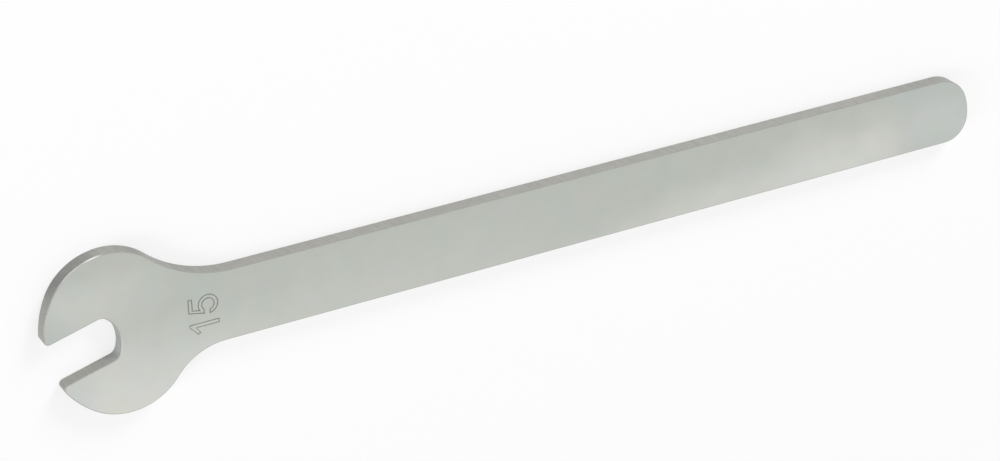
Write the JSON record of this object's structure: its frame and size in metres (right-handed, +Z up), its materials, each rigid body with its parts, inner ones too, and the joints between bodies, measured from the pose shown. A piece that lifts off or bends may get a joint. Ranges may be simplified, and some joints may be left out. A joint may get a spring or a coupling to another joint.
{
  "type": "pedal wrench",
  "caption": "Flat open-ended wrench with a long bar handle, cut from steel plate, for turning a bicycle pedal spindle by its flats.",
  "frame": {"origin": "on the axis of the pedal spindle as it sits in the jaw, at the plate's underside", "axes": "+X along the handle to its free end, +Y across the handle, +Z up out of the numbered face; the jaw opens towards -X, turned 15 degrees towards -Y"},
  "size_m": [0.326, 0.0535, 0.005],
  "materials": {
    "plated_steel": "satin plated steel"
  },
  "bodies": {
    "root": {"wrench": "plated_steel"}
  },
  "joints": []
}
